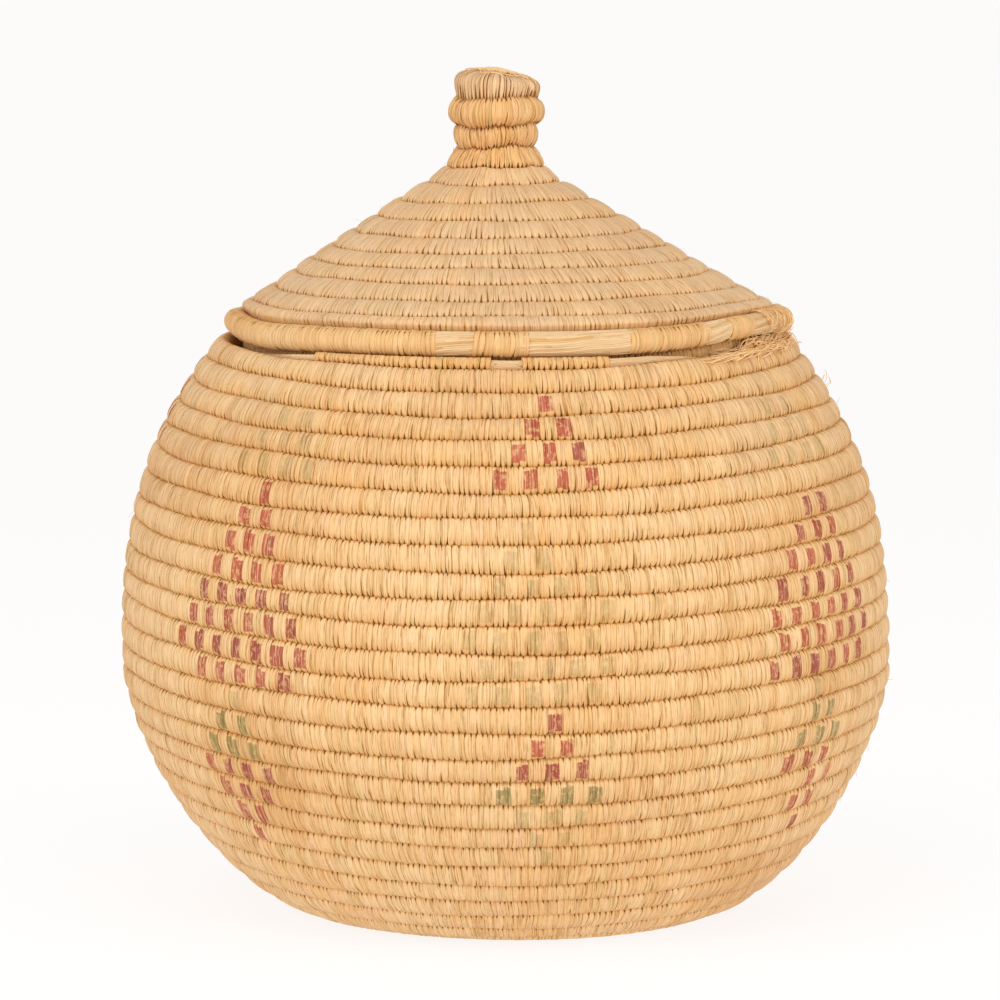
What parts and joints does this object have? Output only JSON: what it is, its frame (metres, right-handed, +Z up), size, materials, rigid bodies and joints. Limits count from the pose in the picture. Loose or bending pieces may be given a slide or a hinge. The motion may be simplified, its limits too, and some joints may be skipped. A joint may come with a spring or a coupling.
{
  "type": "lidded grass basket",
  "caption": "Round coiled grass basket with dyed stepped figures, and a lift-off conical lid with a coiled knob and an inner collar.",
  "frame": {"origin": "centre of the basket's footprint, on the surface that it stands on", "axes": "+Z up, -Y towards the side with the worn rim that the picture shows as the front, +X to its right"},
  "size_m": [0.2296, 0.2308, 0.2517],
  "materials": {
    "sewn_grass": "dry golden grass, wrapped and sewn in fine strands",
    "lid_grass": "dry grass, dusty and faded",
    "bare_straw": "pale straight straw, slightly shiny"
  },
  "bodies": {
    "pot": {"base_knot": "sewn_grass", "base_coil": "sewn_grass", "lower_wall_coil": "sewn_grass", "upper_wall_coil": "sewn_grass", "mouth_end_bundle": "bare_straw", "mouth_end_wrapping": "sewn_grass"},
    "lid": {"knob_knot": "lid_grass", "knob_coil": "lid_grass", "lid_coil": "lid_grass", "lid_rim_bundle": "bare_straw", "lid_rim_wrapping": "lid_grass", "lid_collar": "lid_grass"}
  },
  "joints": [
    {"name": "lid_lift", "type": "slide", "parent": "pot", "child": "lid", "axis": [0, 0, 1], "range_m": [0, 0.16]}
  ]
}
